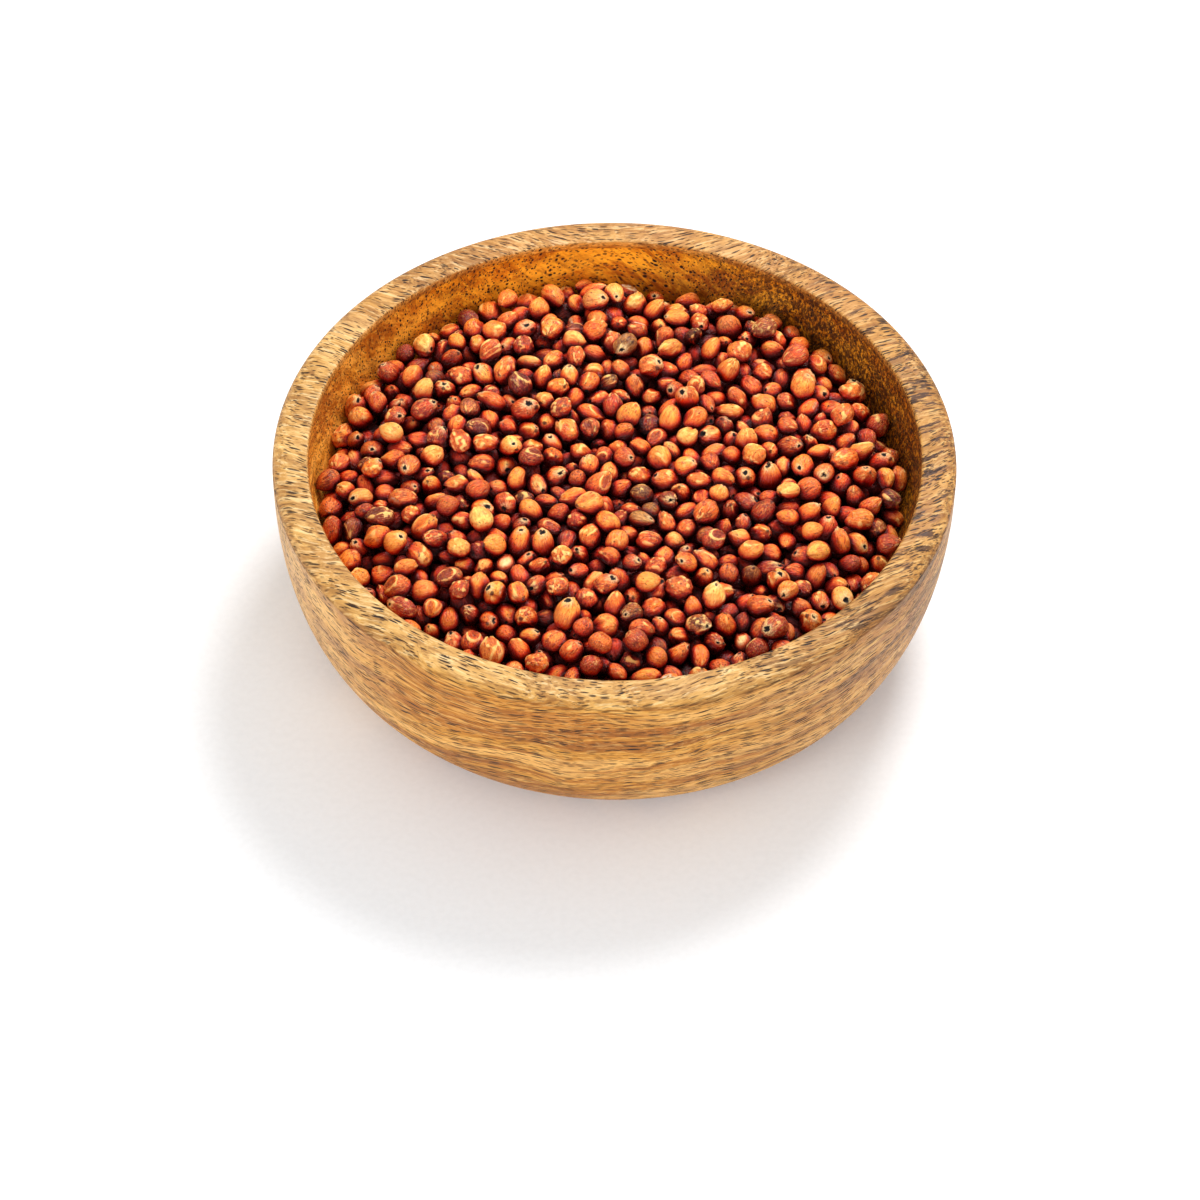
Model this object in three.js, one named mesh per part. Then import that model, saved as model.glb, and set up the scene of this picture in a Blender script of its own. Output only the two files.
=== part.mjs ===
// A small turned wooden bowl filled with loose red sorghum grain.
// Units are millimetres, +Z is up, and the origin is the centre of the bowl's flat foot.
import * as THREE from 'three';

// ---- Driving dimensions -------------------------------------------------------------------

const BOWL = {
  radius: 57.5,        // widest, just under the rim
  height: 36.5,
  widestHeight: 35.3,  // height of the widest circle
  footRadius: 37.1,    // flat foot that the bowl stands on
  rimRounding: 3.0,    // width of the rim's rounded outer edge
  lipRadius: 51.5,     // inner edge of the rim
  lipRounding: 0.5,
  floor: 6.0,          // thickness of wood under the hollow
  turns: 72,           // facets round the bowl
  wallSteps: 12,
  wallCrowding: 2.4,   // power that crowds the wall's rings towards the foot, where it curves most
  roundingSteps: 4,
  hollowSteps: 11,
};

// Superellipse powers of the two wall curves: a squat outside and a rounder inside.
const OUTER_CURVE = { height: 2.38, radius: 2.73 };
const INNER_CURVE = { height: 2.2, radius: 2.8 };

const HEAP = {
  crownHeight: 31.7,   // tops of the middle grains
  edgeHeight: 28.3,    // tops of the grains that touch the wall
  edgeRadius: 50.0,
  topLayer: 3.5,       // depth of the uppermost layer of grains
  turns: 56,
  wallSteps: 9,
  topSteps: 5,
};

const GRAIN = {
  length: 4.3,         // blunt end to pointed germ end
  width: 3.75,
  thickness: 3.3,
  spread: 0.14,        // each size varies by this share, either way
  maxTilt: 0.5,        // radians that a grain leans from lying flat
  sharpness: 0.3,      // most that the germ end is drawn in
  sides: 10,
  rings: 7,
};

// Pale grains and broken ones, as shares of their length, and how they are set down.
const ODD_SHAPE = {
  width: 0.84,
  paleThickness: 0.74,
  paleSharpness: 0.15,
  brokenThickness: 0.7,
  brokenSharpness: 0.3,
  cutDepth: 0.35,      // share of the lower half that is left on a broken grain
  maxTilt: 0.2,
  clearance: 1.4,      // grain lengths from an odd grain within which no whole grain is set
};
const SEED = 2718;

const GAP = 0.3;             // clearance between pieces that rest on each other
const WHOLE_GRAINS = 48;
const FIELD_RADIUS = 46.0;   // whole grains lie within this circle
const GOLDEN_ANGLE = Math.PI * (3 - Math.sqrt(5));

// Grains that stand out, each with where it lies on the heap and which way its long axis points.
const ODD_GRAINS = [
  { name: 'pale_grain_bean', x: -18.0, y: -20.0, turn: 1.25, length: 4.7, material: 'pale' },
  { name: 'pale_grain_grey', x: 21.4, y: -35.1, turn: 1.9, length: 4.2, material: 'pale' },
  { name: 'pale_grain_back', x: 7.6, y: 44.0, turn: 0.3, length: 4.6, material: 'pale' },
  { name: 'pale_grain_side', x: 36.4, y: 8.4, turn: 2.3, length: 4.0, material: 'pale' },
  { name: 'broken_grain_front', x: -23.4, y: -33.0, turn: 0.9, length: 3.5, material: 'flour' },
  { name: 'broken_grain_back', x: 6.0, y: 34.6, turn: 2.6, length: 3.4, material: 'flour' },
  { name: 'broken_grain_right', x: 29.5, y: 22.0, turn: 2.0, length: 3.2, material: 'flour' },
];

const MATERIALS = {
  wood: new THREE.MeshStandardMaterial({ color: 0xc08a52, roughness: 0.55, metalness: 0 }),
  bed: new THREE.MeshStandardMaterial({ color: 0x5c1f12, roughness: 0.7, metalness: 0 }),
  red: new THREE.MeshStandardMaterial({ color: 0xa84a22, roughness: 0.45, metalness: 0 }),
  pale: new THREE.MeshStandardMaterial({ color: 0xe6d3a2, roughness: 0.5, metalness: 0 }),
  flour: new THREE.MeshStandardMaterial({ color: 0xf1eadb, roughness: 0.8, metalness: 0 }),
};

// ---- Helpers ------------------------------------------------------------------------------

// A repeatable stream of numbers from 0 to 1, by a linear congruential generator.
function numberStream(seed) {
  const modulus = 2 ** 32;
  let state = seed;
  return () => {
    state = (state * 1664525 + 1013904223) % modulus;
    return state / modulus;
  };
}

// How far out a wall curve is, from 0 at its start to 1 at its widest, at a share of its height.
function wallShare(share, curve) {
  const left = Math.pow(1 - share, curve.height);
  return Math.pow(Math.max(0, 1 - left), 1 / curve.radius);
}

function outerRadius(z) {
  const flare = BOWL.radius - BOWL.footRadius;
  return BOWL.footRadius + flare * wallShare(z / BOWL.widestHeight, OUTER_CURVE);
}

function innerRadius(z) {
  const share = (z - BOWL.floor) / (BOWL.height - BOWL.floor);
  return BOWL.lipRadius * wallShare(Math.min(1, share), INNER_CURVE);
}

// Height of the grain bed that carries the top layer, at a distance from the bowl's axis.
function bedHeight(radius) {
  const rise = HEAP.crownHeight - HEAP.edgeHeight;
  const top = HEAP.edgeHeight + rise * (1 - (radius / HEAP.edgeRadius) ** 2);
  return top - HEAP.topLayer;
}

// The first radius at which the sloping bed meets the hollow's wall, less the clearance.
function bedEdgeRadius() {
  let radius = HEAP.edgeRadius;
  for (let step = 0; step < 20; step += 1) {
    radius = innerRadius(bedHeight(radius)) - GAP;
  }
  return radius;
}

function lathe(profile, turns) {
  const geometry = new THREE.LatheGeometry(profile, turns);
  geometry.rotateX(Math.PI / 2);
  return geometry;
}

function piece(name, geometry, material) {
  const mesh = new THREE.Mesh(geometry, material);
  mesh.name = name;
  return mesh;
}

// ---- The bowl -----------------------------------------------------------------------------

function bowl() {
  const profile = [new THREE.Vector2(0, 0)];
  for (let i = 0; i <= BOWL.wallSteps; i += 1) {
    const z = BOWL.widestHeight * (i / BOWL.wallSteps) ** BOWL.wallCrowding;
    profile.push(new THREE.Vector2(outerRadius(z), z));
  }
  const shoulder = BOWL.height - BOWL.widestHeight;
  for (let i = 1; i <= BOWL.roundingSteps; i += 1) {
    const angle = (i / BOWL.roundingSteps) * (Math.PI / 2);
    const inset = BOWL.rimRounding * (1 - Math.cos(angle));
    const z = BOWL.widestHeight + shoulder * Math.sin(angle);
    profile.push(new THREE.Vector2(BOWL.radius - inset, z));
  }
  profile.push(new THREE.Vector2(BOWL.lipRadius + BOWL.lipRounding, BOWL.height));
  const depth = BOWL.height - BOWL.floor - BOWL.lipRounding;
  for (let i = 0; i < BOWL.hollowSteps; i += 1) {
    const drop = Math.sin((i / BOWL.hollowSteps) * (Math.PI / 2));
    const z = BOWL.height - BOWL.lipRounding - depth * drop;
    profile.push(new THREE.Vector2(innerRadius(z), z));
  }
  profile.push(new THREE.Vector2(0, BOWL.floor));
  return piece('bowl', lathe(profile, BOWL.turns), MATERIALS.wood);
}

// ---- The grain below the top layer ----------------------------------------------------------

function grainBed() {
  const edge = bedEdgeRadius();
  const edgeZ = bedHeight(edge);
  const bottomZ = BOWL.floor + GAP;
  const profile = [new THREE.Vector2(0, bottomZ)];
  for (let i = 1; i <= HEAP.wallSteps; i += 1) {
    const climb = 1 - Math.cos((i / HEAP.wallSteps) * (Math.PI / 2));
    const z = bottomZ + (edgeZ - bottomZ) * climb;
    // Measured one gap lower as well, so that it clears the shallow slope of the floor.
    const clearRadius = innerRadius(z - GAP) - GAP;
    profile.push(new THREE.Vector2(clearRadius, z));
  }
  for (let i = HEAP.topSteps - 1; i >= 0; i -= 1) {
    const radius = (edge * i) / HEAP.topSteps;
    profile.push(new THREE.Vector2(radius, bedHeight(radius)));
  }
  return piece('grain_bed', lathe(profile, HEAP.turns), MATERIALS.bed);
}

// ---- Grains of the top layer ----------------------------------------------------------------

// An egg-shaped grain lying along X, blunt at -X and drawn to a soft point at the germ end.
function grainGeometry(length, width, thickness, sharpness) {
  const profile = [];
  for (let i = 0; i <= GRAIN.rings; i += 1) {
    const angle = (i / GRAIN.rings) * Math.PI;
    const along = -Math.cos(angle);
    const taper = 1 - sharpness * ((1 + along) / 2) ** 2;
    profile.push(new THREE.Vector2(Math.sin(angle) * taper, along));
  }
  profile[0].x = 0;
  profile[GRAIN.rings].x = 0;
  const geometry = new THREE.LatheGeometry(profile, GRAIN.sides);
  geometry.rotateZ(-Math.PI / 2);
  geometry.scale(length / 2, width / 2, thickness / 2);
  return geometry;
}

// Half of a grain split along its flat side: the same outline, with a thin flat-cut underside.
function brokenGeometry(length, width, thickness) {
  const geometry = grainGeometry(length, width, thickness, ODD_SHAPE.brokenSharpness);
  const at = geometry.getAttribute('position');
  for (let i = 0; i < at.count; i += 1) {
    if (at.getZ(i) < 0) at.setZ(i, at.getZ(i) * ODD_SHAPE.cutDepth);
  }
  geometry.computeVertexNormals();
  return geometry;
}

// Turns a grain, leans it, and sets it down on the bed at a place, just clear of it.
function layOnBed(mesh, x, y, turn, lean, leanDirection) {
  const slope = new THREE.Vector3(-Math.sin(leanDirection), Math.cos(leanDirection), 0);
  mesh.quaternion.setFromAxisAngle(slope, lean);
  mesh.quaternion.multiply(new THREE.Quaternion().setFromAxisAngle(new THREE.Vector3(0, 0, 1), turn));
  const at = mesh.geometry.getAttribute('position');
  const corner = new THREE.Vector3();
  let lift = -Infinity;
  for (let i = 0; i < at.count; i += 1) {
    corner.fromBufferAttribute(at, i).applyQuaternion(mesh.quaternion);
    const under = bedHeight(Math.hypot(x + corner.x, y + corner.y));
    lift = Math.max(lift, under - corner.z);
  }
  mesh.position.set(x, y, lift + GAP / 2);
  return mesh;
}

function oddGrain(odd, random) {
  const { length } = odd;
  const width = length * ODD_SHAPE.width;
  const geometry = odd.material === 'flour'
    ? brokenGeometry(length, width, length * ODD_SHAPE.brokenThickness)
    : grainGeometry(length, width, length * ODD_SHAPE.paleThickness, ODD_SHAPE.paleSharpness);
  const mesh = piece(odd.name, geometry, MATERIALS[odd.material]);
  return layOnBed(mesh, odd.x, odd.y, odd.turn, ODD_SHAPE.maxTilt * random(), odd.turn);
}

function wholeGrain(index, x, y, random) {
  const vary = () => 1 + GRAIN.spread * (2 * random() - 1);
  const scale = vary();
  const geometry = grainGeometry(
    GRAIN.length * scale * vary(),
    GRAIN.width * scale,
    GRAIN.thickness * scale * vary(),
    GRAIN.sharpness * random(),
  );
  const name = `grain_${String(index).padStart(2, '0')}`;
  const mesh = piece(name, geometry, MATERIALS.red);
  const turn = 2 * Math.PI * random();
  return layOnBed(mesh, x, y, turn, GRAIN.maxTilt * random(), 2 * Math.PI * random());
}

function topLayer() {
  const layer = new THREE.Group();
  const random = numberStream(SEED);
  for (const odd of ODD_GRAINS) layer.add(oddGrain(odd, random));
  let placed = 0;
  for (let k = 0; placed < WHOLE_GRAINS; k += 1) {
    const radius = FIELD_RADIUS * Math.sqrt((k + 0.5) / (WHOLE_GRAINS + ODD_GRAINS.length));
    const angle = k * GOLDEN_ANGLE;
    const x = radius * Math.cos(angle);
    const y = radius * Math.sin(angle);
    const nearest = Math.min(...ODD_GRAINS.map((odd) => Math.hypot(odd.x - x, odd.y - y)));
    if (nearest > ODD_SHAPE.clearance * GRAIN.length) {
      placed += 1;
      layer.add(wholeGrain(placed, x, y, random));
    }
  }
  return layer;
}

// ---- The whole thing ------------------------------------------------------------------------

const filledBowl = new THREE.Group();
filledBowl.add(bowl(), grainBed(), topLayer());

export default filledBowl;
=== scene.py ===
"""A small turned wooden bowl filled with loose red sorghum grain, dressed round its CAD frame."""
import math

import bpy
import numpy as np
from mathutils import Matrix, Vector


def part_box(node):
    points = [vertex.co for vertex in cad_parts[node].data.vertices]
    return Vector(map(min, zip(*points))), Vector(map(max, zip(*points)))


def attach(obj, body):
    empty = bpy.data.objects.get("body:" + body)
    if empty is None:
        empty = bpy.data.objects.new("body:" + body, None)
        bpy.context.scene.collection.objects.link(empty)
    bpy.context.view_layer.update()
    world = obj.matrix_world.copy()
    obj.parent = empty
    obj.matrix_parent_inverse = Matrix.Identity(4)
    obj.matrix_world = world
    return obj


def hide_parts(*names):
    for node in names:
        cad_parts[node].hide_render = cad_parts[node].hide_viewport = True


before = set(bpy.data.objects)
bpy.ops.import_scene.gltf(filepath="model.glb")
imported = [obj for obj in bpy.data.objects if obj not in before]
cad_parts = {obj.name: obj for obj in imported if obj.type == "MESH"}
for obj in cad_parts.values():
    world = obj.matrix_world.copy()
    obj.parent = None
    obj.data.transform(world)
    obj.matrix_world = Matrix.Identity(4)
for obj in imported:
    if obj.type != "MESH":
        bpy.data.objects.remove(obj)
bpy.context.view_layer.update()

MM = 0.001


# ---- Sizes, in metres: the CAD's own, unless a comment says otherwise -------------------------

_, bowl_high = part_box("bowl")
BOWL_RADIUS = bowl_high.x
BOWL_HEIGHT = bowl_high.z
FOOT_RADIUS = 37.1 * MM
WIDEST_HEIGHT = BOWL_HEIGHT - 1.2 * MM
RIM_ROUNDING = 3.0 * MM
LIP_RADIUS = BOWL_RADIUS - 6.0 * MM
LIP_ROUNDING = 0.5 * MM
FLOOR_THICKNESS = 6.0 * MM
OUTER_CURVE = (2.38, 2.73)  # superellipse powers, along the height and across
INNER_CURVE = (2.2, 2.8)

HEAP_CROWN = 31.7 * MM  # tops of the middle kernels
HEAP_EDGE = 29.2 * MM  # tops of the kernels against the wall, 0.9 mm over the CAD's
HEAP_RADIUS = 50.0 * MM
HEAP_DEPTH = 11.0 * MM  # not in the CAD: depth of heap that is made of separate kernels

KERNEL_SIZE = np.array([4.3, 3.75, 3.3]) * MM
KERNEL_SPREAD = 0.14


# ---- How the loose kernels are poured and settle, which the CAD has no part in ------------------

HEAP_SEED = 41
HEAP_PIECES = 10
LOOSE_KERNELS = 1845
AXIS_SPREAD = 0.12  # share by which each axis of a kernel varies on its own
POUR_RADIUS = 48.4 * MM
POUR_POWER = 0.455  # a half would be even, and less than that starts more of them by the wall
POUR_DEPTH = 1.6  # depth over which they start, in depths of the heap
POUR_LIFT = 2 * MM
STEEP_SHARE = 0.35  # of the kernels, those that start with the steeper lean
STEEP_LEAN = 1.1  # radians, as a standard deviation
SLIGHT_LEAN = 0.4

SETTLE_STEPS = 420
FALL = 0.14 * MM  # in one step
FALL_FADES = 0.55  # share of the steps after which the fall fades away
LISTING_STEPS = 5  # steps between new lists of neighbours
LISTING_MARGIN = 0.9 * MM
TOUCH_WEIGHT = 0.45  # shares a kernel's move among the neighbours that push it
TWIST_GAIN = 0.25
MOST_TWIST = 0.05  # radians, in one step
WALL_GAP = 0.1 * MM

NEAR_TOP = -2.9 * MM  # from the heap's surface to the top of a kernel: above this, the finest mesh
UNDER_TOP = -6 * MM
CROWD_REACH = 7 * MM  # how far off a neighbour still shades a kernel
SPOTTED_SHARE = 0.75
SPOT_UP_SHARE = 0.6


# ---- Small helpers ------------------------------------------------------------------------------

def linear(red, green, blue):
    """An sRGB colour of 0 to 255 as the linear colour that shaders use."""
    def one(value):
        value /= 255
        return value / 12.92 if value <= 0.04045 else ((value + 0.055) / 1.055) ** 2.4
    return (one(red), one(green), one(blue), 1.0)


def smooth_step(low, high, value):
    t = np.clip((value - low) / (high - low), 0, 1)
    return t * t * (3 - 2 * t)


def rotations(axes, angles):
    """Rotation matrices about unit axes, one for each row."""
    cross = np.zeros((len(angles), 3, 3))
    cross[:, 0, 1], cross[:, 0, 2] = -axes[:, 2], axes[:, 1]
    cross[:, 1, 0], cross[:, 1, 2] = axes[:, 2], -axes[:, 0]
    cross[:, 2, 0], cross[:, 2, 1] = -axes[:, 1], axes[:, 0]
    sine = np.sin(angles)[:, None, None]
    cosine = np.cos(angles)[:, None, None]
    return np.eye(3) + sine * cross + (1 - cosine) * (cross @ cross)


def mesh_object(name, points, faces, smooth=True):
    """A mesh object from arrays of points and of equal-sized faces."""
    mesh = bpy.data.meshes.new(name)
    sides = faces.shape[1]
    mesh.vertices.add(len(points))
    mesh.vertices.foreach_set("co", points.astype(np.float32).ravel())
    mesh.loops.add(faces.size)
    mesh.loops.foreach_set("vertex_index", faces.astype(np.int32).ravel())
    mesh.polygons.add(len(faces))
    mesh.polygons.foreach_set("loop_start", np.arange(0, faces.size, sides, dtype=np.int32))
    mesh.update(calc_edges=True)
    mesh.polygons.foreach_set("use_smooth", np.full(len(faces), smooth))
    obj = bpy.data.objects.new(name, mesh)
    bpy.context.scene.collection.objects.link(obj)
    return obj


def add_attribute(obj, name, kind, values):
    """A named value on every point of a mesh, which its material reads."""
    layer = obj.data.attributes.new(name, kind, "POINT")
    field = {"FLOAT": "value", "FLOAT_VECTOR": "vector", "FLOAT_COLOR": "color"}[kind]
    layer.data.foreach_set(field, values.astype(np.float32).ravel())


class Shader:
    """A material's node tree, built by short calls that each return an output socket."""

    def __init__(self, name):
        self.material = bpy.data.materials.new(name)
        self.material.use_nodes = True
        self.tree = self.material.node_tree
        self.surface = self.tree.nodes["Principled BSDF"]

    def node(self, kind, inputs=(), **settings):
        made = self.tree.nodes.new(kind)
        for key, value in settings.items():
            setattr(made, key, value)
        for key, value in dict(inputs).items():
            self.put(made.inputs[key], value)
        return made

    def put(self, socket, value):
        if isinstance(value, bpy.types.NodeSocket):
            self.tree.links.new(value, socket)
        else:
            socket.default_value = value

    def attribute(self, name, output="Fac"):
        return self.node("ShaderNodeAttribute", attribute_name=name).outputs[output]

    def math(self, operation, first, second=0.0, third=0.0, clamp=False):
        inputs = {0: first, 1: second, 2: third}
        return self.node("ShaderNodeMath", inputs, operation=operation, use_clamp=clamp).outputs[0]

    def vector(self, operation, first, second=(0, 0, 0), output=0):
        made = self.node("ShaderNodeVectorMath", {0: first, 1: second}, operation=operation)
        return made.outputs[output]

    def noise(self, at, scale, detail=3.0, rough=0.5):
        inputs = {"Vector": at, "Scale": scale, "Detail": detail, "Roughness": rough}
        return self.node("ShaderNodeTexNoise", inputs).outputs["Fac"]

    def noise_vector(self, at, scale, detail=2.0):
        inputs = {"Vector": at, "Scale": scale, "Detail": detail}
        colour = self.node("ShaderNodeTexNoise", inputs).outputs["Color"]
        return self.vector("SUBTRACT", colour, (0.5, 0.5, 0.5))

    def ramp(self, value, low, high, to_low=0.0, to_high=1.0):
        """value from low..high to to_low..to_high, smoothly and held at the ends."""
        inputs = {"Value": value, "From Min": low, "From Max": high, "To Min": to_low, "To Max": to_high}
        made = self.node("ShaderNodeMapRange", inputs, interpolation_type="SMOOTHSTEP")
        return made.outputs["Result"]

    def mix(self, share, first, second, blend="MIX"):
        made = self.node("ShaderNodeMix", data_type="RGBA", blend_type=blend)
        self.put(made.inputs[0], share)
        self.put(made.inputs[6], first)
        self.put(made.inputs[7], second)
        return made.outputs[2]

    def bump(self, height, distance, strength):
        inputs = {"Height": height, "Distance": distance, "Strength": strength}
        return self.node("ShaderNodeBump", inputs).outputs["Normal"]

    def finish(self, **inputs):
        for key, value in inputs.items():
            self.put(self.surface.inputs[key.replace("_", " ")], value)
        return self.material


# ---- Materials ----------------------------------------------------------------------------------
# The colours were tuned against the photo, so they hold some of its shade as well.

BOW_WIDTH = 25.0  # in millimetres, as are all the places in the wood
BOW_DEPTH = 13.0


def pores(s, grain, stretch):
    """Open wood pores as dark dashes, from 0 to 1, longer along an axis with a smaller stretch."""
    depth = 0.0
    for size, reach, shown in ((1.0, 0.36, 1.0), (1.55, 0.38, 0.9)):
        cells = s.vector("MULTIPLY", grain, tuple(size * share for share in stretch))
        pore = s.node("ShaderNodeTexVoronoi", {"Vector": cells, "Scale": 1.0})
        chance = s.node("ShaderNodeSeparateXYZ", {0: pore.outputs["Color"]}).outputs[0]
        wide = s.math("MULTIPLY", s.ramp(chance, 0.0, 0.9, 0.35, 1.0), reach)
        ratio = s.math("DIVIDE", pore.outputs["Distance"], wide)
        depth = s.math("MAXIMUM", s.ramp(ratio, 0.65, 1.15, shown, 0.0), depth)
    return depth


def wood_material():
    """Golden hardwood: growth layers nearly level, with fibres and pores running across the bowl."""
    s = Shader("bowl_wood")
    place = s.node("ShaderNodeTexCoord").outputs["Object"]
    millimetres = s.vector("MULTIPLY", place, (1000, 1000, 1000))
    across = s.node("ShaderNodeSeparateXYZ", {0: millimetres})
    side, back = across.outputs[0], across.outputs[1]
    bow = s.math("COSINE", s.math("DIVIDE", side, BOW_WIDTH))
    bow = s.math("MULTIPLY", bow, BOW_DEPTH)
    bowed = s.vector("ADD", millimetres, s.node("ShaderNodeCombineXYZ", {1: bow}).outputs[0])
    turned = s.node("ShaderNodeMapping", {"Vector": bowed, "Rotation": (0.05, 0.05, -0.04)}).outputs[0]
    wander = s.vector("MULTIPLY", s.noise_vector(turned, 0.022), (10, 14, 20))
    grain = s.vector("ADD", turned, wander)
    ripple = s.vector("MULTIPLY", s.noise_vector(turned, 0.14), (1.0, 1.6, 1.6))
    grain = s.vector("ADD", grain, ripple)
    inside = s.attribute("inside")
    rim = s.attribute("rim")
    outside = s.math("SUBTRACT", s.math("SUBTRACT", 1.0, inside), rim, clamp=True)
    to_left = s.ramp(side, -28, -57)
    to_right = s.ramp(side, 5, 52)
    to_back = s.ramp(back, 10, 50)

    # Thin level layers show as streaks round the wall. The hollow cuts them on a slant.
    layers = s.vector("MULTIPLY", grain, (0.045, 0.17, 1.0))
    slant = s.node("ShaderNodeMapping", {"Vector": grain, "Rotation": (0.0, -0.6, 0.0)}).outputs[0]
    layers = s.mix(inside, layers, s.vector("MULTIPLY", slant, (0.22, 0.5, 1.3)))
    threads = s.noise(s.vector("MULTIPLY", grain, (0.14, 1.5, 1.5)), 1.0, 4.0, 0.65)
    streaks = s.noise(layers, 0.42, 4.0, 0.6)
    short = s.vector("MULTIPLY", grain, (0.20, 0.45, 1.7))
    fibres = s.noise(s.mix(inside, short, layers), 1.0, 4.0, 0.68)
    bands = s.noise(layers, 0.13, 3.0, 0.6)
    dark_streak = s.ramp(s.noise(layers, 0.30, 6.0, 0.72), 0.50, 0.62)

    base = s.mix(s.ramp(bands, 0.38, 0.62), linear(200, 140, 56), linear(172, 106, 40))
    base = s.mix(s.ramp(streaks, 0.46, 0.64, 0.0, 0.7), base, linear(214, 162, 84))
    zones = s.noise(s.vector("MULTIPLY", grain, (0.026, 0.06, 0.24)), 1.0, 4.0, 0.58)
    base = s.mix(s.ramp(zones, 0.51, 0.62, 0.0, 0.85), base, linear(232, 184, 120))
    base = s.mix(s.ramp(zones, 0.47, 0.36, 0.0, 0.85), base, linear(150, 92, 36))
    base = s.mix(s.math("MULTIPLY", s.ramp(streaks, 0.48, 0.36), 0.5), base, linear(142, 86, 32))
    base = s.mix(s.math("MULTIPLY", rim, 0.55), base, linear(210, 162, 92))
    more_right = s.math("MULTIPLY_ADD", to_right, 0.75, 0.25)
    not_rim = s.math("MULTIPLY", more_right, s.math("MULTIPLY_ADD", rim, -0.7, 1.0))
    base = s.mix(s.math("MULTIPLY", dark_streak, not_rim), base, linear(92, 54, 22))
    base = s.mix(s.ramp(fibres, 0.50, 0.64, 0.0, 0.45), base, linear(112, 64, 22))
    base = s.mix(s.ramp(fibres, 0.48, 0.36, 0.0, 0.45), base, linear(244, 200, 130))
    on_rim = s.math("MULTIPLY_ADD", rim, 0.36, 0.20)
    base = s.mix(s.math("MULTIPLY", s.ramp(threads, 0.52, 0.64), on_rim), base, linear(130, 78, 32))
    base = s.mix(s.math("MULTIPLY", s.ramp(threads, 0.48, 0.36), on_rim), base, linear(248, 216, 160))

    # The outside is duller than the rim; painted light makes it creamier on the left, and painted shade
    # grey-brown on the right.
    base = s.mix(outside, base, (0.92, 0.81, 0.56, 1.0), "MULTIPLY")
    cream = s.math("MULTIPLY", s.math("MULTIPLY", outside, to_left), 0.42)
    base = s.mix(cream, base, linear(222, 186, 136))
    grey = s.math("MULTIPLY", s.math("MULTIPLY", outside, to_right), 0.30)
    base = s.mix(grey, base, linear(176, 140, 104))

    # The rim is greyer with dark bars on the right, and a little duller at the back.
    rim_right = s.math("MULTIPLY", rim, to_right)
    base = s.mix(rim_right, base, (0.80, 0.68, 0.48, 1.0), "MULTIPLY")
    bars = s.ramp(s.noise(s.vector("MULTIPLY", grain, (0.16, 0.6, 0.6)), 1.0, 4.0, 0.7), 0.53, 0.60)
    base = s.mix(s.math("MULTIPLY", rim_right, bars), base, (0.17, 0.12, 0.08, 1.0), "MULTIPLY")
    base = s.mix(s.math("MULTIPLY", rim, to_back), base, (0.90, 0.82, 0.80, 1.0), "MULTIPLY")

    # The hollow is deeper and more orange than the outside; painted light keeps its far left paler, and
    # painted shade darkens its right.
    deepened = s.math("MULTIPLY", inside, s.ramp(side, -52, -25, 0.74, 0.96))
    base = s.mix(deepened, base, (1.38, 0.86, 0.06, 1.0), "MULTIPLY")
    shaded = s.math("MULTIPLY", inside, s.ramp(side, -6, 34))
    speckle = s.ramp(s.noise(grain, 1.3, 4.0, 0.75), 0.42, 0.54, 0.35, 1.0)
    base = s.mix(s.math("MULTIPLY", shaded, speckle), base, (0.12, 0.10, 0.09, 1.0), "MULTIPLY")

    # Open pores: short dark dashes, longest round the wall and along the fibres of the rim.
    depth = s.math("MULTIPLY", pores(s, grain, (0.25, 0.56, 2.5)), outside)
    depth = s.math("MULTIPLY_ADD", pores(s, grain, (0.27, 1.7, 1.7)), rim, depth)
    depth = s.math("MULTIPLY_ADD", pores(s, grain, (0.7, 1.5, 1.5)), inside, depth)
    crowd = s.ramp(s.noise(grain, 0.12, 3.0, 0.6), 0.34, 0.52, 0.72, 1.0)
    depth = s.math("MULTIPLY", depth, crowd)
    base = s.mix(depth, base, linear(38, 15, 3))

    # A thin dark line where the rim turns down into the wall.
    turn_down = s.math("MULTIPLY", s.ramp(rim, 0.02, 0.10), s.ramp(rim, 0.42, 0.20))
    turn_down = s.math("MULTIPLY", turn_down, s.ramp(threads, 0.40, 0.56, 0.15, 0.75))
    base = s.mix(turn_down, base, (0.55, 0.46, 0.36, 1.0), "MULTIPLY")

    relief = s.math("SUBTRACT", s.math("MULTIPLY", fibres, 0.5), depth)
    normal = s.bump(relief, 0.00015, 0.7)
    gloss = s.ramp(streaks, 0.3, 0.7, 0.48, 0.60)
    return s.finish(Base_Color=base, Roughness=gloss, Normal=normal, Specular_IOR_Level=0.26)


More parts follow.
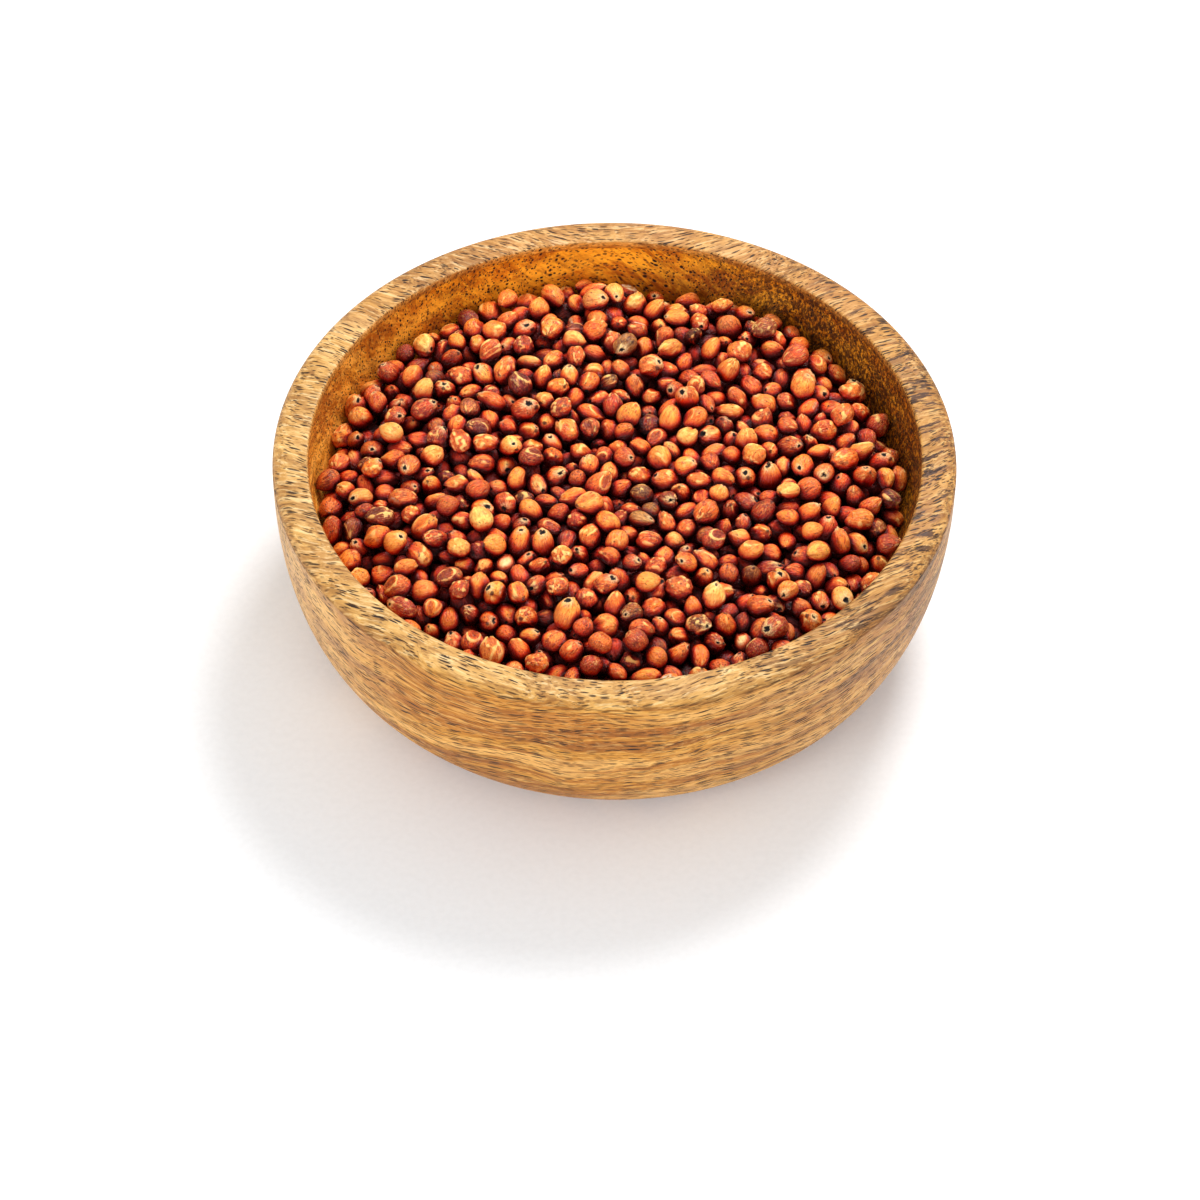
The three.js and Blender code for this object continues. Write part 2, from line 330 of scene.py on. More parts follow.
def kernel_material(name):
    """A sorghum seed coat. Each kernel carries its own tint and marks as values on its points."""
    s = Shader(name)
    tint = s.attribute("tint", "Color")
    blush = s.attribute("blush", "Color")
    local = s.attribute("local", "Vector")
    spot = s.attribute("spot", "Vector")
    traits = s.node("ShaderNodeSeparateXYZ", {0: s.attribute("traits", "Vector")})
    spot_radius, mottle, seed = traits.outputs
    shade = s.node("ShaderNodeSeparateXYZ", {0: s.attribute("shade", "Vector")})
    crevice, chip, crest = shade.outputs

    # Each kernel reads another place in the noises, far from the others'.
    far = {0: s.math("MULTIPLY", seed, 37.0), 1: s.math("MULTIPLY", seed, 91.0)}
    shift = s.node("ShaderNodeCombineXYZ", far).outputs[0]
    here = s.vector("ADD", local, shift)
    cloud = s.ramp(s.noise(here, 1.2, 4.0, 0.65), 0.42, 0.64)
    base = s.mix(s.math("MULTIPLY", cloud, mottle), tint, blush)
    streaky = s.vector("MULTIPLY", here, (0.8, 3.6, 3.6))
    veins = s.ramp(s.noise(streaky, 1.5, 4.0, 0.65), 0.50, 0.64, 0.0, 0.8)
    base = s.mix(veins, base, blush)
    fine = s.noise(streaky, 3.4, 3.0, 0.65)
    base = s.mix(s.ramp(fine, 0.52, 0.66, 0.0, 0.5), base, blush)
    base = s.mix(s.ramp(fine, 0.47, 0.34, 0.0, 0.5), base, linear(255, 196, 104))
    # Painted shade in the hollows of the folds; the cream on their crests is partly the seed coat's own
    # and partly a painted highlight.
    base = s.mix(s.ramp(crest, -0.015, -0.09, 0.0, 0.5), base, blush)
    base = s.mix(s.ramp(crest, 0.010, 0.035, 0.0, 0.75), base, linear(255, 204, 120))

    # Painted light: faces that look up are brighter, and those that look down redder.
    facing = s.node("ShaderNodeNewGeometry").outputs["Normal"]
    up = s.node("ShaderNodeSeparateXYZ", {0: facing}).outputs[2]
    base = s.mix(s.ramp(up, 0.35, 1.0), base, (1.32, 1.34, 1.20, 1.0), "MULTIPLY")
    base = s.mix(s.ramp(up, 0.55, -0.35), base, linear(214, 74, 36), "MULTIPLY")

    speck = s.ramp(s.noise(here, 3.6, 2.0, 0.5), 0.67, 0.74, 0.0, 0.8)
    base = s.mix(speck, base, linear(70, 16, 12))
    smudge = s.ramp(s.noise(here, 1.9, 4.0, 0.7), 0.56, 0.66, 0.0, 0.75)
    base = s.mix(s.math("MULTIPLY", smudge, mottle), base, linear(96, 20, 14))

    # The black hilum scar in a pale patch, and the dark point of the germ end.
    rough_edge = s.math("SUBTRACT", s.noise(here, 2.6, 3.0, 0.65), 0.5)
    reach = s.vector("DISTANCE", local, spot, output=1)
    ratio = s.math("DIVIDE", reach, s.math("MAXIMUM", spot_radius, 0.01))
    ratio = s.math("MULTIPLY_ADD", rough_edge, 3.4, ratio)
    has_spot = s.ramp(spot_radius, 0.02, 0.06)
    ring = s.math("MULTIPLY", s.ramp(ratio, 1.0, 3.2, 0.85, 0.0), has_spot)
    ring = s.math("MULTIPLY", ring, s.ramp(fine, 0.60, 0.42, 0.25, 1.0))
    base = s.mix(ring, base, linear(255, 220, 158))
    scar = s.math("MULTIPLY", s.ramp(ratio, 0.75, 1.15, 1.0, 0.0), has_spot)
    base = s.mix(scar, base, linear(16, 4, 5))
    to_tip = s.vector("DISTANCE", local, (0.99, 0.0, 0.1), output=1)
    tip = s.math("MULTIPLY_ADD", rough_edge, 0.5, to_tip)
    base = s.mix(s.ramp(tip, 0.10, 0.30, 0.85, 0.0), base, linear(52, 12, 10))
    crumbs = s.ramp(s.noise(here, 3.0, 3.0), 0.4, 0.6)
    floury = s.mix(crumbs, linear(255, 236, 196), linear(226, 160, 92))
    base = s.mix(chip, base, floury)

    # Painted shade: a kernel reddens and then darkens where its neighbours crowd it.
    base = s.mix(s.ramp(crevice, 0.0, 0.45), base, linear(236, 96, 50), "MULTIPLY")
    base = s.mix(s.ramp(crevice, 0.2, 0.8), base, linear(104, 16, 8), "MULTIPLY")

    relief = s.math("ADD", s.noise(streaky, 1.7, 4.0, 0.6), s.math("MULTIPLY", speck, -0.4))
    normal = s.bump(relief, 0.0004, 0.9)
    gloss = s.ramp(s.noise(here, 2.0), 0.3, 0.7, 0.26, 0.38)
    gloss = s.math("ADD", gloss, s.math("MULTIPLY", scar, 0.4))
    return s.finish(Base_Color=base, Roughness=gloss, Normal=normal, Specular_IOR_Level=0.38)


def core_material():
    """The grain deep in the heap, with painted shade: darker than the kernels over it."""
    s = Shader("deep_grain")
    place = s.node("ShaderNodeTexCoord").outputs["Object"]
    millimetres = s.vector("MULTIPLY", place, (1000, 1000, 1000))
    lumps = s.noise(millimetres, 0.28, 3.0)
    base = s.mix(s.ramp(lumps, 0.35, 0.7), linear(46, 14, 10), linear(104, 40, 22))
    normal = s.bump(lumps, 0.001, 0.8)
    gloss = s.ramp(lumps, 0.3, 0.7, 0.6, 0.8)
    return s.finish(Base_Color=base, Roughness=gloss, Normal=normal)


def floor_material():
    """Plain white paper."""
    s = Shader("white_ground")
    place = s.node("ShaderNodeTexCoord").outputs["Object"]
    tooth = s.noise(place, 900.0, 2.0)
    base = s.mix(s.ramp(tooth, 0.2, 0.8), linear(250, 250, 251), linear(246, 246, 247))
    normal = s.bump(tooth, 0.00002, 0.3)
    return s.finish(Base_Color=base, Roughness=0.9, Normal=normal, Specular_IOR_Level=0.1)


# ---- The bowl -----------------------------------------------------------------------------------

def wall_share(share, curve):
    """How far out a wall curve is, from 0 to 1, at a share of its height."""
    left = (1 - np.clip(share, 0, 1)) ** curve[0]
    return np.clip(1 - left, 0, 1) ** (1 / curve[1])


def inner_radius(z):
    share = (z - FLOOR_THICKNESS) / (BOWL_HEIGHT - FLOOR_THICKNESS)
    return LIP_RADIUS * wall_share(share, INNER_CURVE)


def bowl_profile():
    """The section from foot centre to hollow floor: radius, height, and shares in hollow and rim."""
    foot = np.linspace(0, FOOT_RADIUS, 14)[:-1]
    z = WIDEST_HEIGHT * np.linspace(0, 1, 56) ** 2.2
    wall = FOOT_RADIUS + (BOWL_RADIUS - FOOT_RADIUS) * wall_share(z / WIDEST_HEIGHT, OUTER_CURVE)
    turn = np.linspace(0, math.pi / 2, 12)[1:]
    edge = BOWL_RADIUS - RIM_ROUNDING * (1 - np.cos(turn))
    edge_z = WIDEST_HEIGHT + (BOWL_HEIGHT - WIDEST_HEIGHT) * np.sin(turn)
    flat = np.linspace(edge[-1], LIP_RADIUS + LIP_ROUNDING, 7)[1:]
    lip_turn = np.linspace(0, math.pi / 2, 7)[1:]
    lip_z = BOWL_HEIGHT - LIP_ROUNDING * (1 - np.cos(lip_turn))
    lip = LIP_RADIUS + LIP_ROUNDING * (1 - np.sin(lip_turn))
    depth = BOWL_HEIGHT - LIP_ROUNDING - FLOOR_THICKNESS
    hollow_z = BOWL_HEIGHT - LIP_ROUNDING - depth * np.sin(np.linspace(0, math.pi / 2, 44))[1:]
    hollow = inner_radius(hollow_z)
    radius = np.concatenate([foot, wall, edge, flat, lip, hollow])
    height = np.concatenate([foot * 0, z, edge_z, flat * 0 + BOWL_HEIGHT, lip_z, hollow_z])
    half_inside = 3  # points of the lip
    before = len(radius) - len(hollow) - half_inside
    inside = np.concatenate([np.zeros(before), np.full(half_inside, 0.5), np.ones(len(hollow))])
    on_rim = smooth_step(WIDEST_HEIGHT, BOWL_HEIGHT, height)
    return radius, height, inside, on_rim


def make_bowl():
    radius, height, inside, on_rim = bowl_profile()
    turns = 384
    wobble = 0.05 * MM
    tool_marks = 0.012 * MM
    angle = np.arange(turns) * 2 * math.pi / turns
    rows = len(radius)
    # The turning isn't perfect: the wall is off by less than a tenth of a millimetre.
    wander = wobble * (np.sin(2 * angle + 0.6) + 0.6 * np.sin(5 * angle + 2.0))
    rings = tool_marks * np.sin(np.arange(rows) * 2.1)
    spread = radius[:, None] + (wander[None, :] + rings[:, None]) * (radius[:, None] > 0)
    spread = np.minimum(spread, BOWL_RADIUS)
    x = spread * np.cos(angle)
    y = spread * np.sin(angle)
    z = np.repeat(height[:, None], turns, 1)
    points = np.stack([x, y, z], 2)[1:-1].reshape(-1, 3)
    ends = np.array([[0, 0, height[0]], [0, 0, height[-1]]])
    points = np.concatenate([points, ends])
    count = rows - 2
    row = np.arange(count - 1)[:, None] * turns
    here = np.arange(turns)[None, :]
    after = (here + 1) % turns
    quads = np.stack([row + here, row + after, row + turns + after, row + turns + here], 2)
    quads = quads.reshape(-1, 4)
    foot, hollow = count * turns, count * turns + 1
    last = (count - 1) * turns
    around, around_next = np.arange(turns), (np.arange(turns) + 1) % turns
    foot_fan = np.stack([around_next, around, np.full(turns, foot)], 1)
    hollow_fan = np.stack([last + around, last + around_next, np.full(turns, hollow)], 1)
    # The quads are split, so that all the faces have three corners.
    triangles = np.concatenate([quads[:, [0, 1, 2]], quads[:, [0, 2, 3]], foot_fan, hollow_fan])
    bowl = mesh_object("bowl_turned", points, triangles)
    add_attribute(bowl, "inside", "FLOAT", np.concatenate([np.repeat(inside[1:-1], turns), [0, 1]]))
    add_attribute(bowl, "rim", "FLOAT", np.concatenate([np.repeat(on_rim[1:-1], turns), [0, 0]]))
    bowl.data.materials.append(wood_material())
    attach(bowl, "root")
    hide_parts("bowl")


# ---- Kernel forms -------------------------------------------------------------------------------

def octahedral_sphere(steps):
    """Unit directions, triangles and an unfolded square UV place for each triangle corner."""
    index, points, faces, corners = {}, [], [], []

    def point(key):
        if key not in index:
            index[key] = len(points)
            points.append(key)
        return index[key]

    def unfold(key, signs):
        x, y = key[0] / steps, key[1] / steps
        if signs[2] > 0:
            return x, y
        return (1 - abs(y)) * signs[0], (1 - abs(x)) * signs[1]

    for signs in [(a, b, c) for a in (1, -1) for b in (1, -1) for c in (1, -1)]:
        order = 1 if signs[0] * signs[1] * signs[2] > 0 else -1
        for i in range(steps):
            for j in range(steps - i):
                cells = [((i, j), (i + 1, j), (i, j + 1))]
                if i + j < steps - 1:
                    cells.append(((i + 1, j), (i + 1, j + 1), (i, j + 1)))
                for cell in cells:
                    keys = [(a * signs[0], b * signs[1], (steps - a - b) * signs[2]) for a, b in cell]
                    keys = keys[::order]
                    faces.append([point(key) for key in keys])
                    corners.append([unfold(key, signs) for key in keys])
    directions = np.array(points, float)
    directions /= np.linalg.norm(directions, axis=1)[:, None]
    return directions, np.array(faces), np.array(corners)


def lumps(directions, random, size, scale):
    """A smooth random height over the sphere: a sum of waves, of which a few in step make size."""
    waves, in_step = 7, 4
    height = np.zeros(len(directions))
    for _ in range(waves):
        wave = random.normal(size=3) * scale
        height += np.sin(directions @ wave + random.uniform(0, 2 * math.pi))
    return size * height / in_step


class KernelForm:
    """A shape of kernel, as heights over a unit sphere. +X is the pointed end, +Z the germ face."""

    def __init__(self, seed):
        self.seed = seed
        random = np.random.default_rng(seed)
        self.point = random.uniform(0.05, 0.34)
        self.germ_depth = random.uniform(0.06, 0.16)
        self.germ_length = random.uniform(0.55, 0.8)
        self.ridges = int(random.integers(7, 12))
        self.ridge_height = random.uniform(0.0, 0.05)
        self.wrinkle = random.choice([0.012, 0.03, 0.06], p=[0.40, 0.40, 0.20])
        self.crease = random.random() < 0.22
        self.chip = random.normal(size=3) if random.random() < 0.10 else None
        side = random.uniform(-0.35, 0.35)
        spot = np.array([random.uniform(0.62, 0.93), side, -random.uniform(0.2, 0.7)])
        self.spot = spot / np.linalg.norm(spot)
        self.spot_radius = random.uniform(0.14, 0.27) if random.random() < 0.75 else 0.0

    def shape(self, d):
        """Points of the form for unit directions d, how chipped each is, and how proud it stands."""
        random = np.random.default_rng(self.seed + 1000)
        x, y, z = d.T
        taper = 1 - self.point * ((1 + x) / 2) ** 2
        height = lumps(d, random, 0.085, 1.7)
        folds = lumps(d, random, self.wrinkle, 6.0)
        # A shallow oval hollow over the germ, with a low rim round it.
        reach = np.sqrt(((x - 0.38) / self.germ_length) ** 2 + (y / 0.52) ** 2)
        on_face = smooth_step(0.1, 0.5, z)
        folds -= self.germ_depth * on_face * (1 - smooth_step(0.45, 1.0, reach))
        folds += 0.3 * self.germ_depth * on_face * np.exp(-((reach - 1.05) / 0.2) ** 2)
        # Wrinkles that run out from the germ end.
        spin = np.arctan2(z, y)
        near_tip = smooth_step(0.1, 0.95, x)
        folds += self.ridge_height * near_tip * np.sin(self.ridges * spin + 3 * np.sin(spin + self.seed))
        # A small raised point where the kernel sat on its stalk.
        height += 0.07 * smooth_step(0.965, 1.0, x)
        if self.crease:
            folds -= 0.13 * np.exp(-((y - 0.08) / 0.09) ** 2) * smooth_step(-0.2, 0.3, x) * (z > 0)
        if self.spot_radius:
            away = np.linalg.norm(d - self.spot, axis=1) / self.spot_radius
            height -= 0.17 * (1 - smooth_step(0.3, 1.0, away))
            folds += 0.035 * np.exp(-((away - 1.25) / 0.3) ** 2)
        out = d * (1 + height + folds)[:, None]
        out[:, 1] *= taper
        out[:, 2] *= taper
        chipped = np.zeros(len(d))
        if self.chip is not None:
            cut, flatness = 0.76, 0.92  # how far out the chip's face is, and 1 for a plane
            face = self.chip / np.linalg.norm(self.chip)
            over = out @ face - cut
            out -= face * np.maximum(over, 0)[:, None] * flatness
            chipped = smooth_step(0.02, 0.06, over)
        return out, chipped, folds * (1 - chipped)


FORM_COUNT = 48
FORMS = [KernelForm(seed) for seed in range(FORM_COUNT)]
LEVELS = {"near": 12, "under": 7, "deep": 4}  # triangle rows on each octant of a kernel


def form_library():
    """Every form at every level of detail, as points in its unit ellipsoid."""
    library = {}
    for level, steps in LEVELS.items():
        directions, faces, corners = octahedral_sphere(steps)
        library[level] = {
            "directions": directions, "faces": faces, "corners": corners,
            "shapes": [form.shape(directions) for form in FORMS],
        }
    return library


# Seed-coat colours with how common each is, and the darker blush that clouds it.
TINTS = [
    (linear(255, 162, 66), linear(206, 76, 18), 0.26),
    (linear(254, 132, 42), linear(176, 46, 16), 0.30),
    (linear(236, 98, 32), linear(138, 30, 16), 0.20),
    (linear(198, 62, 28), linear(106, 20, 16), 0.12),
    (linear(144, 36, 28), linear(72, 12, 16), 0.05),
    (linear(98, 28, 30), linear(52, 10, 16), 0.02),
    (linear(255, 200, 108), linear(236, 124, 40), 0.05),
]
PALE_TINT = (linear(250, 226, 166), linear(222, 178, 104))
FLOUR_TINT = (linear(252, 244, 226), linear(228, 200, 156))


def crevices(points, normals, centre, centres, radii):
    """Roughly how much of the view from each point of a kernel its neighbours fill, up to 2."""
    near = np.linalg.norm(centres - centre, axis=1)
    itself = near <= 1e-6
    beside = ~itself & (near < CROWD_REACH)
    to = centres[beside][None, :, :] - points[:, None, :]
    away = np.linalg.norm(to, axis=2)
    facing = np.maximum(0, np.einsum("pnk,pk->pn", to, normals) / away)
    share = facing * np.minimum(1, (radii[beside] / away) ** 2)
    return np.clip(share.sum(1), 0, 2)


def kernel_piece(name, library, kernels, crowd, material, replaced=None):
    """Joins kernels, each a dict that dress makes, into one piece with a square of UV for each."""
    points, faces, corners = [], [], []
    values = {key: [] for key in ("tint", "blush", "local", "spot", "traits", "shade")}
    side = math.ceil(math.sqrt(len(kernels)))
    cell = 1 / side
    uv_half = 0.47  # of a cell, which leaves a margin round each kernel
    start = 0
    for number, kernel in enumerate(kernels):
        store = library[kernel["level"]]
        form = FORMS[kernel["form"]]
        shape, chipped, crest = store["shapes"][kernel["form"]]
        here = (shape * kernel["half"]) @ kernel["turn"].T + kernel["place"]
        normal = (store["directions"] / kernel["half"]) @ kernel["turn"].T
        normal /= np.linalg.norm(normal, axis=1)[:, None]
        points.append(here)
        faces.append(store["faces"] + start)
        count = len(shape)
        start += count
        low = np.array([number % side, number // side]) * cell
        corners.append(low + cell * (0.5 + uv_half * store["corners"]))
        values["tint"].append(np.tile(kernel["tint"], (count, 1)))
        values["blush"].append(np.tile(kernel["blush"], (count, 1)))
        values["local"].append(store["directions"])
        values["spot"].append(np.tile(form.spot, (count, 1)))
        radius = form.spot_radius if kernel["spotted"] else 0.0
        values["traits"].append(np.tile([radius, kernel["mottle"], kernel["seed"]], (count, 1)))
        crevice = crevices(here, normal, kernel["place"], *crowd)
        values["shade"].append(np.stack([crevice, chipped, crest], 1))
    piece = mesh_object(name, np.concatenate(points), np.concatenate(faces))
    for key, rows in values.items():
        kind = "FLOAT_COLOR" if key in ("tint", "blush") else "FLOAT_VECTOR"
        add_attribute(piece, key, kind, np.concatenate(rows))
    layer = piece.data.uv_layers.new(name="OFBake")
    layer.uv.foreach_set("vector", np.concatenate(corners).astype(np.float32).ravel())
    piece.data.materials.append(material)
    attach(piece, "root")
    if replaced:
        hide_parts(replaced)


def colours(random, kind="red"):
    """A kernel's tint and blush, with its own small shift of brightness."""
    if kind == "red":
        weights = np.array([row[2] for row in TINTS])
        first, second = random.choice(len(TINTS), 2, p=weights / weights.sum())
        share = random.uniform(0, 0.45)
        tint = np.array(TINTS[first][0]) * (1 - share) + np.array(TINTS[second][0]) * share
        blush = np.array(TINTS[first][1])
    else:
        tint, blush = (np.array(c) for c in (PALE_TINT if kind == "pale" else FLOUR_TINT))
    light = random.uniform(0.82, 1.15)
    tint[:3] = np.clip(tint[:3] * light, 0, 1)
    return tint, blush


def dress(random, place, turn, half, level, fixed, kind="red"):
    """A kernel's record: its pose and size, and the random choices of its looks."""
    tint, blush = colours(random, kind)
    form = int(random.integers(FORM_COUNT))
    return {
        "place": place, "turn": show_spot(random, turn, form, fixed), "half": half,
        "level": level, "form": form, "tint": tint, "blush": blush, "seed": random.random(),
        "spotted": random.random() < SPOTTED_SHARE,
        "mottle": random.uniform(0.25, 1.0) if kind == "red" else random.uniform(0.1, 0.5),
    }


# ---- Poses of the named kernels, from the frame -----------------------------------------------------

def pose_of(node):
    """Centre, axes as columns and half sizes of a CAD kernel, with +X towards its pointed end."""
    corners = np.array([v.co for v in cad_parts[node].data.vertices], float)
    corners = np.unique(np.round(corners, 7), axis=0)
    mean = corners.mean(0)
    _, axes = np.linalg.eigh(np.cov((corners - mean).T))
    axes = axes[:, ::-1]
    across = (corners - mean) @ axes
    centre = mean + axes @ (across.max(0) + across.min(0)) / 2
    half = (across.max(0) - across.min(0)) / 2
    # The pointed end is the one with the slimmer rings of corners.
    if (across[:, 0] * (across[:, 1] ** 2 + across[:, 2] ** 2)).sum() > 0:
        axes[:, 0] *= -1
    if axes[2, 2] < 0:
        axes[:, 2] *= -1
    axes[:, 1] = np.cross(axes[:, 2], axes[:, 0])
    return centre, axes, half


# ---- Packing the heap -------------------------------------------------------------------------------

def heap_top(radius):
    return HEAP_EDGE + (HEAP_CROWN - HEAP_EDGE) * (1 - (radius / HEAP_RADIUS) ** 2)


def scatter(index, vectors, count):
    """Sums rows of vectors into count rows by index."""
    return np.stack([np.bincount(index, vectors[:, k], count) for k in range(3)], 1)


def half_width(turn, half, direction):
    """A direction in each kernel's own axes, how far its shadow reaches along it, and the mean of
    that and of how far a ray from its centre does."""
    local = np.einsum("kji,kj->ki", turn, direction)
    shadow = np.sqrt(((half * local) ** 2).sum(1))
    ray = 1 / np.sqrt(((local / half) ** 2).sum(1))
    return local, shadow, (shadow + ray) / 2


def settle(place, turn, half, fixed):
    """Lets loose kernels come to rest on each other, on the wall and round the fixed ones."""
    count = len(place)
    loose = (~fixed).astype(float)[:, None]
    reach = 2 * half.max()
    up = np.tile([0.0, 0.0, 1.0], (count, 1))
    for step in range(SETTLE_STEPS):
        share = step / SETTLE_STEPS
        fall = FALL if share < FALL_FADES else FALL * (1 - share) ** 1.5
        place[:, 2] -= fall * loose[:, 0]
        if step % LISTING_STEPS == 0:
            squared = ((place[:, None, :] - place[None, :, :]) ** 2).sum(-1)
            near = squared < (reach + LISTING_MARGIN) ** 2
            first, second = np.nonzero(np.triu(near, 1))
        for again in range(2):
            between = place[second] - place[first]
            apart = np.linalg.norm(between, axis=1) + 1e-9
            normal = between / apart[:, None]
            local_a, shadow_a, reach_a = half_width(turn[first], half[first], normal)
            local_b, shadow_b, reach_b = half_width(turn[second], half[second], normal)
            over = np.maximum(0, reach_a + reach_b - apart)
            push = (0.5 * over)[:, None] * normal
            touching = (over > 0).astype(float)
            touches = np.bincount(first, touching, count) + np.bincount(second, touching, count)
            move = scatter(second, push, count) - scatter(first, push, count)
            place += loose * move / np.maximum(1, TOUCH_WEIGHT * touches)[:, None]
            if again == 0 and step % 2 == 0:
                twist_a = np.cross(local_a, half[first] ** 2 * local_a) * (over / shadow_a)[:, None]
                twist_b = np.cross(local_b, half[second] ** 2 * local_b) * (over / shadow_b)[:, None]
                twist = scatter(first, twist_a, count) + scatter(second, twist_b, count)
                twist = loose * np.clip(TWIST_GAIN * twist / MM ** 2, -MOST_TWIST, MOST_TWIST)
                size = np.linalg.norm(twist, axis=1) + 1e-12
                turn = turn @ rotations(twist / size[:, None], size)
        radius = np.hypot(place[:, 0], place[:, 1]) + 1e-9
        outward = np.stack([place[:, 0] / radius, place[:, 1] / radius, 0 * radius], 1)
        _, _, wide = half_width(turn, half, outward)
        past = np.maximum(0, radius - (inner_radius(place[:, 2]) - wide - WALL_GAP))
        place -= loose * outward * past[:, None]
        _, _, tall = half_width(turn, half, up)
        ground = heap_top(radius) - HEAP_DEPTH + tall
        place[:, 2] = np.where(fixed, place[:, 2], np.maximum(place[:, 2], ground))
    return place, turn


def pour(random, named):
    """Poses of the heap's kernels: the named ones where the frame has them, then the loose ones."""
    count = LOOSE_KERNELS
    scale = 1 + KERNEL_SPREAD * random.uniform(-1, 1, count)
    vary = 1 + AXIS_SPREAD * random.uniform(-1, 1, (count, 3))
    half = KERNEL_SIZE / 2 * scale[:, None] * vary
    half = -np.sort(-half, axis=1)
    radius = POUR_RADIUS * random.random(count) ** POUR_POWER
    angle = random.uniform(0, 2 * math.pi, count)
    depth = HEAP_DEPTH * (random.random(count) * POUR_DEPTH - 1) + POUR_LIFT
    place = np.stack([radius * np.cos(angle), radius * np.sin(angle), heap_top(radius) + depth], 1)
    yaw = rotations(np.tile([0.0, 0, 1], (count, 1)), random.uniform(0, 2 * math.pi, count))
    lean_to = random.uniform(0, 2 * math.pi, count)
    steep = random.random(count) < STEEP_SHARE
    lean = np.where(steep, random.normal(0, STEEP_LEAN, count), random.normal(0, SLIGHT_LEAN, count))
    flip = rotations(np.tile([1.0, 0, 0], (count, 1)), math.pi * (random.random(count) < 0.5))
    lean_axis = np.stack([-np.sin(lean_to), np.cos(lean_to), 0 * lean_to], 1)
    turn = rotations(lean_axis, lean) @ yaw @ flip
    place = np.concatenate([[pose[0] for pose in named], place])
    turn = np.concatenate([[pose[1] for pose in named], turn])
    half = np.concatenate([[pose[2] for pose in named], half])
    fixed = np.arange(len(place)) < len(named)
    place, turn = settle(place, turn, half, fixed)
    return place, turn, half


HALF_TURNS = [np.diag(signs) for signs in ([1, 1, 1], [1, -1, -1], [-1, 1, -1], [-1, -1, 1])]


def show_spot(random, turn, form, fixed):
    """Turns a kernel half round an axis, which keeps its egg in place, to show its hilum scar.
    A fixed one turns only about its length, so that its pointed end stays where it is."""
    choices = HALF_TURNS[:2] if fixed else HALF_TURNS
    heights = [(turn @ half_turn @ FORMS[form].spot)[2] for half_turn in choices]
    if random.random() < SPOT_UP_SHARE:
        return turn @ choices[int(np.argmax(heights))]
    return turn @ choices[int(random.integers(len(choices)))]


def make_heap():
    library = form_library()
    random = np.random.default_rng(HEAP_SEED)
    names = sorted(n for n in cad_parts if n.startswith("grain_") and n != "grain_bed")
    odd = sorted(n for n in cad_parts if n.startswith(("pale", "broken")))
    named = [pose_of(n) for n in names + odd]
    place, turn, half = pour(random, named)
    crowd = (place, half.mean(1))
    red = kernel_material("red_seed_coat")
    pale = kernel_material("pale_seed_coat")
    for number, node in enumerate(names + odd):
        kind = "red" if node in names else ("pale" if node.startswith("pale") else "flour")
        kernel = dress(random, place[number], turn[number], half[number], "near", True, kind)
        coat = red if kind == "red" else pale
        kernel_piece(f"{node}_kernel", library, [kernel], crowd, coat, node)
    up = np.tile([0.0, 0.0, 1.0], (len(place), 1))
    surface = heap_top(np.hypot(place[:, 0], place[:, 1]))
    tops = place[:, 2] + half_width(turn, half, up)[2] - surface
    groups = [[] for _ in range(HEAP_PIECES)]
    for number in range(len(named), len(place)):
        top = tops[number]
        level = "near" if top > NEAR_TOP else ("under" if top > UNDER_TOP else "deep")
        kernel = dress(random, place[number], turn[number], half[number], level, False)
        groups[number % HEAP_PIECES].append(kernel)
    for number, kernels in enumerate(groups):
        kernel_piece(f"heap_kernels_{number + 1:02d}", library, kernels, crowd, red)


def make_core():
    """The grain under the separate kernels, as one dark lumpy body that fills the hollow."""
    turns, top_rings, side_rings = 96, 40, 20
    gap = 0.3 * MM
    angle = np.arange(turns) * 2 * math.pi / turns
    edge = inner_radius(heap_top(HEAP_RADIUS) - HEAP_DEPTH) - gap
    top_r = np.linspace(0, edge, top_rings)[1:]
    top_z = heap_top(top_r) - HEAP_DEPTH
    low_z = FLOOR_THICKNESS + gap
    drop = np.linspace(top_z[-1], low_z, side_rings)[1:]
    side = np.maximum(inner_radius(drop - gap) - gap, 0.5 * MM)
    radius = np.concatenate([top_r, side])
    height = np.concatenate([top_z, drop])
    twisted = 9 * angle[None, :] + radius[:, None] * 300
    lump = 0.4 * MM * np.sin(radius[:, None] * 1400) * np.sin(twisted)
    lump[len(top_r) - 1:] = 0
    ring = np.stack([
        radius[:, None] * np.cos(angle), radius[:, None] * np.sin(angle), height[:, None] + lump,
    ], 2).reshape(-1, 3)
    points = np.concatenate([ring, [[0, 0, top_z[0]], [0, 0, low_z]]])
    row = np.arange(len(radius) - 1)[:, None] * turns
    here = np.arange(turns)[None, :]
    after = (here + 1) % turns
    quads = np.stack([row + here, row + turns + here, row + turns + after, row + after], 2)
    quads = quads.reshape(-1, 4)
    around, around_next = np.arange(turns), (np.arange(turns) + 1) % turns
    last = (len(radius) - 1) * turns
    top_fan = np.stack([around, around_next, np.full(turns, len(ring))], 1)
    low_fan = np.stack([last + around_next, last + around, np.full(turns, len(ring) + 1)], 1)
    triangles = np.concatenate([quads[:, [0, 1, 2]], quads[:, [0, 2, 3]], top_fan, low_fan])
    core = mesh_object("heap_core", points, triangles)
    core.data.materials.append(core_material())
    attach(core, "root")
    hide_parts("grain_bed")


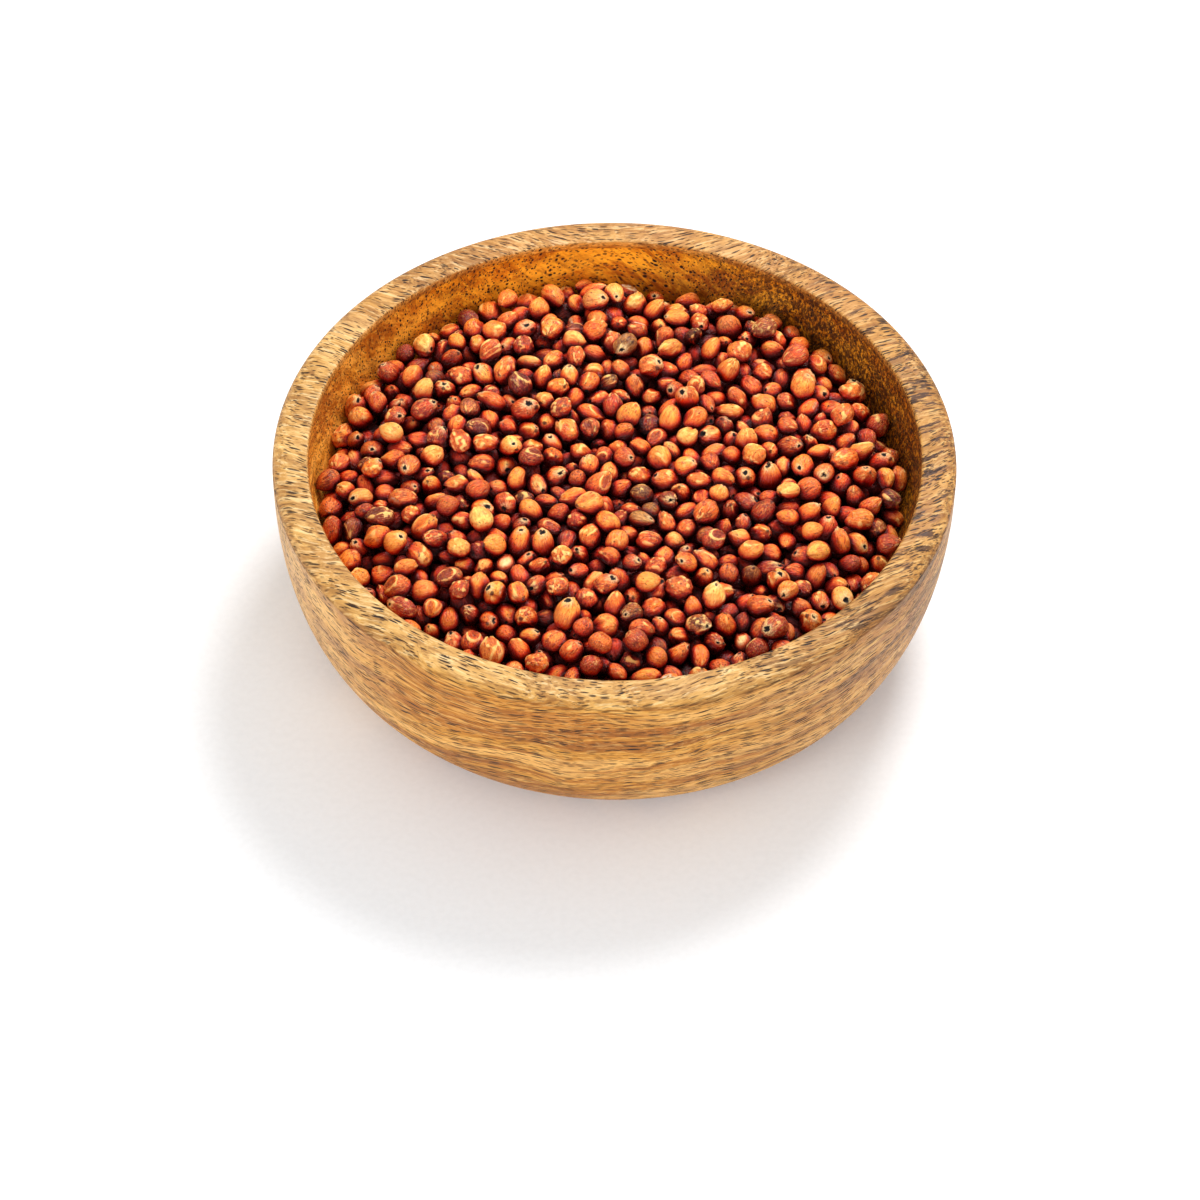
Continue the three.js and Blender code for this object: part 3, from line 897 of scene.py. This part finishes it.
# ---- Floor, light and camera --------------------------------------------------------------------------

def make_floor():
    far = 1.5
    points = np.array([[-far, -far, 0], [far, -far, 0], [far, far, 0], [-far, far, 0]])
    ground = mesh_object("ground", points, np.array([[0, 1, 2, 3]]), smooth=False)
    ground.data.materials.append(floor_material())


LAMP_AIM = Vector((0, 0, 0.03))


def area_light(name, place, size, power):
    """A round white lamp, in metres and watts, that points at the heap."""
    light = bpy.data.lights.new(name, "AREA")
    light.shape = "DISK"
    light.size = size
    light.energy = power
    obj = bpy.data.objects.new(name, light)
    obj.location = place
    obj.rotation_euler = (LAMP_AIM - Vector(place)).to_track_quat("-Z", "Y").to_euler()
    bpy.context.scene.collection.objects.link(obj)


def make_light():
    world = bpy.data.worlds.new("studio")
    world.use_nodes = True
    sky = world.node_tree.nodes["Background"].inputs
    sky["Color"].default_value = (0.94, 0.98, 1.0, 1)
    sky["Strength"].default_value = 0.72
    bpy.context.scene.world = world
    area_light("key", place=(0.14, 0.30, 0.44), size=0.24, power=2.6)
    area_light("fill_left", place=(-0.75, -0.70, 0.34), size=0.6, power=5.2)
    area_light("fill_right", place=(0.50, -0.85, 0.32), size=0.6, power=3.2)


def make_camera():
    """Looks down on the rim from 45 degrees, aimed a little below and left of the foot's centre."""
    elevation = math.radians(45.44)
    roll = math.radians(0.57)
    distance = 0.700
    rim = Vector((0, 0, BOWL_HEIGHT))
    camera = bpy.data.cameras.new("camera")
    camera.sensor_width = 36
    camera.lens = 124.84
    camera.clip_start, camera.clip_end = 0.01, 20
    obj = bpy.data.objects.new("camera", camera)
    obj.location = rim + distance * Vector((0, -math.cos(elevation), math.sin(elevation)))
    aim = Vector((-2.2, 0, -1.0)) * MM
    obj.rotation_euler = (aim - obj.location).to_track_quat("-Z", "Y").to_euler()
    obj.rotation_euler.rotate_axis("Z", roll)
    bpy.context.scene.collection.objects.link(obj)
    bpy.context.scene.camera = obj


make_camera()
make_light()
make_floor()
make_bowl()
make_core()
make_heap()
bpy.context.scene.view_settings.view_transform = "Standard"
